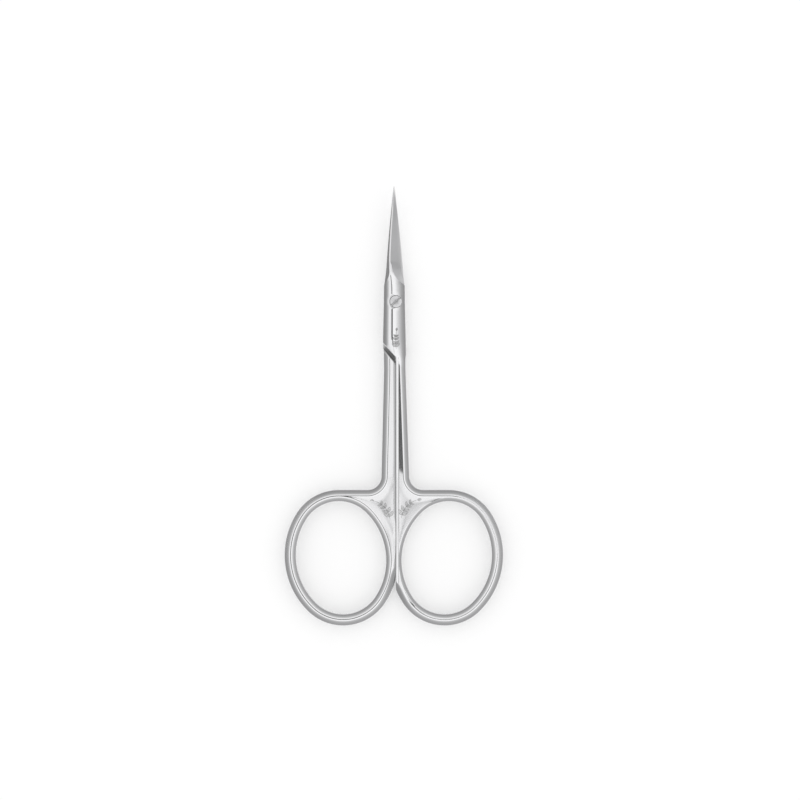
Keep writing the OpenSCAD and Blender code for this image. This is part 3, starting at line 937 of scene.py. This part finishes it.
def assemble(h, surface, xy, tris, mid):
    """Upper and lower skin, side walls and steps of a half."""
    x, y = xy.T
    mx, my = mid.T
    in_seat = (np.hypot(mx, my) < SEAT_R) & (h["bend"] > 0)
    full = my < shoulder_line(mx)
    on_step = (np.abs(y - shoulder_line(x)) < 1e-3) & (x > 0) & (y < STEP_TOP_Y)
    skin = Skin(xy, top=surface.top(x, y), seat=np.full(len(x), SEAT_Z),
                mate=surface.mating(x, y), under=surface.under(x, y))
    up_n = surface.corner_normals(surface.top, xy, tris, 1)
    up_n[in_seat] = (0, 0, 1)
    down_n = surface.corner_normals(surface.mating, xy, tris, -1)
    down_n[full] = surface.corner_normals(surface.under, xy, tris[full], -1)
    body, _, bevel = surface.joint(mx, my)
    ground = (bevel < body) & (my > GROUND_Y)
    # Painted shade: a narrow band beside the contact line, below the notch, takes the dark
    # inner finish
    seam_shade = (mx < CONTACT_X + SHELF_ROUND) & (my < -NOTCH_Y)
    ups, downs = np.where(in_seat, "seat", "top"), np.where(full, "under", "mate")
    up_finish = np.select([in_seat, seam_shade, ground], [SEAT, INNER_SHADED, GROUND], POLISHED)
    # The mating faces take the inner finish, whose darker tone is painted shade
    down_finish = np.where(full & ~seam_shade, POLISHED, INNER_SHADED)
    for k, tri in enumerate(tris):
        skin.add([(ups[k], i) for i in tri], up_finish[k], up_n[k])
        skin.add([(downs[k], i) for i in tri[::-1]], down_finish[k], down_n[k][::-1])
    for uses in shared_edges(tris, zip(ups, downs)):
        if len(uses) == 1:
            (a, b), (up, down) = uses[0]
            # Walls in the bore and on the contact line take the dark inner finish, as painted
            # shade
            in_bore = math.hypot(x[a], y[a]) < BORE_ZONE_R
            seam_wall_shade = max(x[a], x[b]) < CONTACT_X + 1e-3 and y[a] < SEAM_TOP_Y
            ring = wall(a, b, up, down, "mate", on_step & (down == "under"))
            skin.add(ring, INNER_SHADED if in_bore or seam_wall_shade else POLISHED)
            continue
        (e0, (up0, down0)), (e1, (up1, down1)) = uses
        if up0 != up1:
            a, b = e0 if up0 == "top" else e1
            skin.add([("top", a), ("seat", a), ("seat", b), ("top", b)], SEAT)
        if down0 != down1:
            a, b = e0 if down0 == "mate" else e1
            # The step between the lower and the mating surface takes the dark inner finish, as
            # painted shade
            skin.add([("under", b), ("mate", b), ("mate", a), ("under", a)], INNER_SHADED)
    return skin


def new_object(name, points, faces):
    """An object in the scene from points in millimetres."""
    mesh = bpy.data.meshes.new(name)
    mesh.from_pydata([tuple(p * MM) for p in points], [], faces)
    obj = bpy.data.objects.new(name, mesh)
    bpy.context.scene.collection.objects.link(obj)
    return obj


def dress(mesh, finish, sharp, **values):
    """Material of each face, smooth shading up to an angle, and values for the nodes."""
    mesh.polygons.foreach_set("material_index", finish)
    mesh.shade_smooth()
    mesh.set_sharp_from_angle(angle=math.radians(sharp))
    for label, data in values.items():
        mesh.attributes.new(label, "FLOAT", "POINT").data.foreach_set("value", data)


def turned_over(points):
    """Points of the lower half, made bow to +X, at their place in the part."""
    return points * [-1, 1, -1] + [0, 0, JOINT_T]


def build_half(name, h, turned):
    """Mesh of a half, and its surface functions."""
    surface, xy, tris, mid, borders = half_mesh(h)
    skin = assemble(h, surface, xy, tris, mid)
    pts, normals = np.array(skin.coords), np.array(skin.normals)
    x, y = pts[:, 0], pts[:, 1]
    off, ang = surface.bow_place(x, y)
    on_ring = y < RING_Y
    values = {
        "rim": np.exp(-(distance_to(pts[:, :2], borders) / RIM_WEAR_W) ** 2),
        "satin": surface.satin(x, y),
        "across": np.where(on_ring, off, x),
        "along": np.where(on_ring, np.radians(ang) * RING_R, y),
        # painted shade on the inner faces, deepening towards the notch
        "notch_shade": fade(NOTCH_SHADE_SPAN, y),
    }
    if turned:
        pts, normals = turned_over(pts), normals * [-1, 1, -1]
    obj = new_object(name, pts, skin.faces)
    dress(obj.data, skin.finish, HALF_SHARP, **values)
    obj.data.normals_split_custom_set([tuple(n) for n in normals])
    return obj, surface


class Nodes:
    """Short spelling for a material's or world's node tree."""

    def __init__(self, tree):
        self.tree = tree

    def add(self, kind, **settings):
        node = self.tree.nodes.new(kind)
        for key, value in settings.items():
            setattr(node, key, value)
        return node

    def link(self, a, b):
        self.tree.links.new(a, b)

    def put(self, value, socket):
        if isinstance(value, (int, float)):
            socket.default_value = value
        else:
            self.link(value, socket)

    def attribute(self, name):
        return self.add("ShaderNodeAttribute", attribute_name=name).outputs["Fac"]

    def math(self, op, a, b=0.0, c=0.0):
        node = self.add("ShaderNodeMath", operation=op)
        for value, socket in zip((a, b, c), node.inputs):
            self.put(value, socket)
        return node.outputs[0]

    def noise(self, vector, scale, detail=2.0, rough=0.5):
        node = self.add("ShaderNodeTexNoise")
        node.inputs["Scale"].default_value = scale
        node.inputs["Detail"].default_value = detail
        node.inputs["Roughness"].default_value = rough
        self.link(vector, node.inputs["Vector"])
        return node.outputs["Fac"]

    def vector(self, x, y, z=0.0):
        node = self.add("ShaderNodeCombineXYZ")
        for value, socket in zip((x, y, z), node.inputs):
            self.put(value, socket)
        return node.outputs[0]

    def blend(self, factor, a, b):
        node = self.add("ShaderNodeMix", data_type="RGBA")
        self.put(factor, node.inputs["Factor"])
        for value, socket in ((a, node.inputs["A"]), (b, node.inputs["B"])):
            if isinstance(value, tuple):
                socket.default_value = (*value, 1)
            else:
                self.link(value, socket)
        return node.outputs["Result"]


def steel(name, color, dark, rough, lines, depth, axis="along", rough_satin=None,
          notch_shade=None):
    """Steel with fine lines along or across the bar, cloudy gloss and paler worn edges; where a
    tone is given for it, painted shade that darkens it towards the notch.
    """
    mat = bpy.data.materials.new(name)
    mat.use_nodes = True
    n = Nodes(mat.node_tree)
    shader = mat.node_tree.nodes["Principled BSDF"]
    shader.inputs["Metallic"].default_value = 1.0
    place = n.add("ShaderNodeTexCoord").outputs["Object"]
    cloud = n.noise(place, CLOUD_SCALE, 3.0)
    speck = n.noise(place, SPECK_SCALE, 2.0)
    rim, satin = n.attribute("rim"), n.attribute("satin")
    close, far = n.attribute("across"), n.attribute("along")
    stretch = LINE_STRETCH_ALONG
    if axis == "across":
        close, far, stretch = far, close, LINE_STRETCH_ACROSS
    at = n.vector(n.math("MULTIPLY", close, lines), n.math("MULTIPLY", far, stretch))
    grain = n.noise(at, 1.0, 3.0, 0.6)
    tint = n.math("MULTIPLY_ADD", grain, 0.5, n.math("MULTIPLY", cloud, 0.5))
    tone = n.blend(tint, dark, color)
    # Painted shade: the tone darkens towards the notch by each point's notch_shade value
    if notch_shade is not None:
        tone = n.blend(n.attribute("notch_shade"), tone, notch_shade)
    worn = n.blend(n.math("MULTIPLY", rim, WEAR), tone, WORN_STEEL)
    n.link(worn, shader.inputs["Base Color"])
    r = n.math("MULTIPLY_ADD", satin, (rough_satin or rough) - rough, rough)
    r = n.math("MULTIPLY_ADD", n.math("SUBTRACT", cloud, 0.5), CLOUD_ROUGH, r)
    r = n.math("MULTIPLY_ADD", n.math("SUBTRACT", grain, 0.5), GRAIN_ROUGH, r)
    n.link(n.math("MAXIMUM", r, LEAST_ROUGH), shader.inputs["Roughness"])
    bump = n.add("ShaderNodeBump")
    bump.inputs["Strength"].default_value = depth
    bump.inputs["Distance"].default_value = BUMP_HEIGHT
    n.link(n.math("MULTIPLY_ADD", speck, satin, grain), bump.inputs["Height"])
    n.link(bump.outputs[0], shader.inputs["Normal"])
    return mat


def polished_steel():
    """Mirror polish on bars and joint, satin on the plates beside the bows."""
    return steel("polished_steel", (0.84, 0.84, 0.85), (0.79, 0.79, 0.80), rough=0.09,
                 rough_satin=0.27, lines=14.0, depth=0.08)


def ground_steel():
    """The blade's bevel, ground across."""
    return steel("ground_steel", (0.76, 0.76, 0.77), (0.69, 0.69, 0.70), rough=0.42,
                 lines=9.0, depth=0.45, axis="across")


def inner_shaded_steel():
    """Faces that slide or stop on the other half: ground steel whose darker tone is painted
    shade in the seam and the gaps, with deeper painted shade towards the notch.
    """
    return steel("inner_shaded_steel", (0.62, 0.62, 0.63), (0.53, 0.53, 0.54), rough=0.4,
                 lines=9.0, depth=0.3, axis="across", notch_shade=(0.19, 0.19, 0.19))


def shaded_seat_steel():
    """Seat of the screw, and the floor of its slot: rougher steel whose darker tone is painted
    shade in the slot and in the groove round the head.
    """
    return steel("shaded_seat_steel", (0.62, 0.62, 0.62), (0.5, 0.5, 0.5), rough=0.3, lines=9.0,
                 depth=0.2)


def screw_steel():
    """Turned screw head."""
    return steel("screw_steel", (0.70, 0.70, 0.71), (0.58, 0.58, 0.59), rough=0.22,
                 lines=22.0, depth=0.3)


def etched_steel():
    """Dull lines of the ornament."""
    return steel("etched_steel", (0.44, 0.44, 0.44), (0.34, 0.34, 0.34), rough=0.5,
                 lines=9.0, depth=0.2)


def make_halves(steels):
    """Both forgings, each in place of its CAD node; returns their surface functions."""
    surfaces = []
    for label, sizes, turned, body in (
        ("upper_half", UPPER, False, "upper"),
        ("lower_half", LOWER, True, "lower"),
    ):
        piece, surface = build_half(label + "_forging", sizes, turned)
        for mat in steels:
            piece.data.materials.append(mat)
        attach(piece, body)
        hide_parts(label)
        surfaces.append(surface)
    return surfaces


def screw_top(x, y):
    """Domed head with a rounded rim, and small chamfers along the slot."""
    r = np.hypot(x, y)
    z = HEAD_Z + HEAD_DOME * (1 - (r / (HEAD_R - HEAD_ROUND)) ** 2)
    e = np.clip((r - HEAD_R + HEAD_ROUND) / HEAD_ROUND, 0, 1)
    z = np.where(e > 0, HEAD_Z - HEAD_ROUND * (1 - np.sqrt(1 - e * e)), z)
    across = np.abs(y * math.cos(SLOT_ANGLE) - x * math.sin(SLOT_ANGLE))
    return z - np.clip((SLOT_W / 2 + SLOT_CHAMFER - across), 0, SLOT_CHAMFER)


def screw_plan():
    """Plan of the head, its triangles, and which of them lie in the slot."""
    rim = circle(HEAD_R, 72)
    turn = np.array([[math.cos(SLOT_ANGLE), math.sin(SLOT_ANGLE)],
                     [-math.sin(SLOT_ANGLE), math.cos(SLOT_ANGLE)]])
    lines = []
    for off in (-SLOT_W / 2 - SLOT_CHAMFER, -SLOT_W / 2, SLOT_W / 2, SLOT_W / 2 + SLOT_CHAMFER):
        half = math.sqrt(HEAD_R**2 - off**2)
        lines.append(resample([[-half, off], [half, off]], HEAD_STEP) @ turn)
    inner = np.concatenate([circle(r, max(8, int(r * 48))) for r in HEAD_RINGS])
    inner = inner[distance_to(inner, lines) > 0.02]
    xy, tris = triangulated([rim], lines, inner)
    tris = tris[inside(xy[tris].mean(1), rim)]
    return xy, tris, np.abs((xy[tris].mean(1) @ turn.T)[:, 1]) < SLOT_W / 2


def build_screw():
    """Slotted head, plain journal and threaded end."""
    xy, tris, in_slot = screw_plan()
    skin = Skin(xy, top=screw_top(*xy.T), floor=np.full(len(xy), SLOT_Z),
                low=np.full(len(xy), SEAT_Z + HEAD_REST))
    kinds = np.where(in_slot, "floor", "top")
    for kind, tri in zip(kinds, tris):
        skin.add([(kind, i) for i in tri], TURNED if kind == "top" else SLOT_FLOOR)
    at_slot = np.zeros(len(xy), bool)
    at_slot[tris[in_slot]] = True
    rim = set()
    for uses in shared_edges(tris, kinds):
        (a, b), kind = uses[0]
        if len(uses) == 1:
            rim.add(a)
            skin.add(wall(a, b, kind, "low", "floor", at_slot & (kind == "top")), TURNED)
        elif kind != uses[1][1]:
            a, b = (a, b) if kind == "top" else uses[1][0]
            skin.add([("top", a), ("floor", a), ("floor", b), ("top", b)], SLOT_FLOOR)
    order = sorted(rim, key=lambda i: math.atan2(xy[i, 1], xy[i, 0]))
    ring = [skin.vertex("low", i) for i in order]
    for r, z in STEM:
        base, n = len(skin.coords), len(order)
        skin.coords += [(*(xy[i] * (r / math.hypot(*xy[i]))), z) for i in order]
        for j in range(n):
            q = (j + 1) % n
            skin.face([ring[j], base + j, base + q, ring[q]], TURNED)
        ring = list(range(base, base + n))
    skin.face(ring[::-1], TURNED)
    pts = np.array(skin.coords)
    obj = new_object("screw_slotted", pts, skin.faces)
    r = np.hypot(pts[:, 0], pts[:, 1])
    dress(obj.data, skin.finish, SCREW_SHARP, rim=np.exp(-((r - HEAD_R) / HEAD_WEAR_W) ** 2),
          satin=r * 0, across=r, along=np.arctan2(pts[:, 1], pts[:, 0]))
    return obj


def make_screw(steels):
    """The screw, in place of its CAD node; it turns with the lower half."""
    screw = build_screw()
    for mat in steels:
        screw.data.materials.append(mat)
    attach(screw, "lower")
    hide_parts("pivot_screw")


def leaf(base, tip, width):
    """Outline of a pointed leaf and its midrib, as strokes."""
    base, tip = np.array(base, float), np.array(tip, float)
    axis = tip - base
    side = np.array([-axis[1], axis[0]]) / np.hypot(*axis)
    t = np.linspace(0, 1, 13)
    bulge = width / 2 * np.sin(math.pi * t**0.8)
    line = base + axis * t[:, None]
    return [line + side * bulge[:, None], line - side * bulge[:, None],
            base + axis * np.linspace(0.05, 0.72, 7)[:, None]]


def sprig(root, reach, lean, bend, size, count=4):
    """A curved stem with pairs of leaves that grow smaller towards a single end leaf."""
    parts = 24
    heading = math.radians(lean) + math.radians(bend) * np.linspace(0, 1, parts + 1)
    step = reach / parts
    x = root[0] + np.concatenate([[0], np.cumsum(np.cos(heading[:-1]) * step)])
    y = root[1] + np.concatenate([[0], np.cumsum(np.sin(heading[:-1]) * step)])
    strokes = [np.stack([x, y], 1)]
    for k in range(count):
        i = int(3 + k * 18 / count)
        scale = size * (1 - 0.45 * k / count)
        for turn in (-LEAF_ANGLE, LEAF_ANGLE):
            a = heading[i] + math.radians(turn)
            tip = (x[i] + scale * math.cos(a), y[i] + scale * math.sin(a))
            strokes += leaf((x[i], y[i]), tip, scale * LEAF_W)
    a, end = heading[-1], size * END_LEAF
    tip = (x[-1] + end * math.cos(a), y[-1] + end * math.sin(a))
    return strokes + leaf((x[-1], y[-1]), tip, size * END_LEAF_W)


def etch(name, strokes, surface, turned):
    """Fine etched lines: closed strips that barely stand out of the side that is seen."""
    height, facing = (surface.under, -1) if turned else (surface.top, 1)
    verts, faces = [], []
    for stroke in strokes:
        line = resample(stroke, ETCH_STEP)
        if len(line) < 3:
            continue
        t = np.linspace(0, 1, len(line))
        half = ETCH_W / 2 * (0.45 + 0.55 * np.sin(math.pi * t))[:, None]
        side = inward_normals(line) * half
        base = len(verts)
        for p, q in zip(line + side, line - side):
            zp, zq = (float(height(r[:1], r[1:])[0]) for r in (p, q))
            verts += [(*p, zp + ETCH_UP * facing), (*q, zq + ETCH_UP * facing),
                      (*q, zq - ETCH_DOWN * facing), (*p, zp - ETCH_DOWN * facing)]
        for k in range(base, len(verts) - 4, 4):
            for j in range(4):
                faces.append([k + j, k + (j + 1) % 4, k + 4 + (j + 1) % 4, k + 4 + j])
        k = len(verts) - 4
        faces.append([base + 3, base + 2, base + 1, base])
        faces.append([k, k + 1, k + 2, k + 3])
    pts = np.array(verts)
    if turned:
        faces = [f[::-1] for f in faces]
        pts = turned_over(pts)
    return new_object(name, pts, faces)


def make_ornament(upper, lower, mat):
    """Three sprigs: below the screw, and beside the contact line above either bow."""
    right = sprig((1.35, -51.9), reach=6.2, lean=82, bend=-70, size=1.6)
    joint = sprig((0.1, -11.4), reach=4.4, lean=96, bend=-14, size=1.25)
    left = sprig((1.4, -52.3), reach=6.3, lean=84, bend=-72, size=1.6)
    for name, strokes, surface, turned, body in (
        ("etched_sprig_right", right, upper, False, "upper"),
        ("etched_sprig_joint", joint, upper, False, "upper"),
        ("etched_sprig_left", left, lower, True, "lower"),
    ):
        piece = etch(name, strokes, surface, turned)
        piece.data.materials.append(mat)
        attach(piece, body)


def make_floor():
    """A pale table, white to the camera and in reflections, that keeps the shadow."""
    corners = np.array([(-1, -1, 0), (1, -1, 0), (1, 1, 0), (-1, 1, 0)])
    floor = new_object("table", corners * TABLE_HALF, [(0, 1, 2, 3)])
    floor.location = (0, 0, cad_box[0][2] - TABLE_GAP)
    mat = bpy.data.materials.new("table")
    mat.use_nodes = True
    n = Nodes(mat.node_tree)
    shader = mat.node_tree.nodes["Principled BSDF"]
    shader.inputs["Base Color"].default_value = (*TABLE_TONE, 1)
    shader.inputs["Roughness"].default_value = 1.0
    shader.inputs["Specular IOR Level"].default_value = 0.0
    path = n.add("ShaderNodeLightPath")
    seen = n.math("MAXIMUM", path.outputs["Is Camera Ray"], path.outputs["Is Glossy Ray"])
    seen = n.math("MAXIMUM", seen, path.outputs["Is Transmission Ray"])
    shader.inputs["Emission Color"].default_value = (1, 1, 1, 1)
    n.link(n.math("MULTIPLY", seen, TABLE_GLOW), shader.inputs["Emission Strength"])
    floor.data.materials.append(mat)


def make_world():
    """A light tent: bright above, greyer walls, a dark lens opening, white at the horizon."""
    world = bpy.data.worlds.new("studio")
    world.use_nodes = True
    bpy.context.scene.world = world
    n = Nodes(world.node_tree)
    back = world.node_tree.nodes["Background"]
    split = n.add("ShaderNodeSeparateXYZ")
    n.link(n.add("ShaderNodeTexCoord").outputs["Generated"], split.inputs[0])
    x, y, z = split.outputs
    angle = n.math("DIVIDE", n.math("ARCCOSINE", z), math.pi / 2)
    ramp = n.add("ShaderNodeValToRGB")
    stops = ramp.color_ramp.elements
    while len(stops) > 1:
        stops.remove(stops[-1])
    for i, (deg, level) in enumerate(STUDIO):
        stop = stops[0] if i == 0 else stops.new(deg / 90)
        stop.position = deg / 90
        stop.color = (level, level, level, 1)
    n.link(angle, ramp.inputs[0])
    side = n.math("MULTIPLY_ADD", y, STUDIO_Y, n.math("MULTIPLY_ADD", x, STUDIO_X, 1.0))
    tent = n.add("ShaderNodeVectorMath", operation="SCALE")
    n.link(ramp.outputs[0], tent.inputs[0])
    n.link(side, tent.inputs["Scale"])
    path = n.add("ShaderNodeLightPath")
    plain = n.math("SUBTRACT", 1.0, path.outputs["Is Glossy Ray"])
    n.link(n.blend(plain, tent.outputs[0], (1, 1, 1)), back.inputs["Color"])
    back.inputs["Strength"].default_value = 1.0


def make_camera():
    """Straight above, far away and with a long lens, as the photograph was taken."""
    data = bpy.data.cameras.new("camera")
    camera = bpy.data.objects.new("camera", data)
    bpy.context.scene.collection.objects.link(camera)
    data.sensor_width = SENSOR_W
    data.lens = SENSOR_W * CAMERA_DISTANCE / VIEW_W
    camera.location = (*VIEW_CENTRE, VIEW_Z + CAMERA_DISTANCE)
    camera.rotation_euler = (0, 0, 0)
    bpy.context.scene.camera = camera


steels = [polished_steel(), ground_steel(), inner_shaded_steel(), shaded_seat_steel()]
upper_surface, lower_surface = make_halves(steels)
make_screw([screw_steel(), steels[SEAT]])
make_ornament(upper_surface, lower_surface, etched_steel())
make_floor()
make_world()
make_camera()
bpy.context.scene.view_settings.view_transform = "Standard"
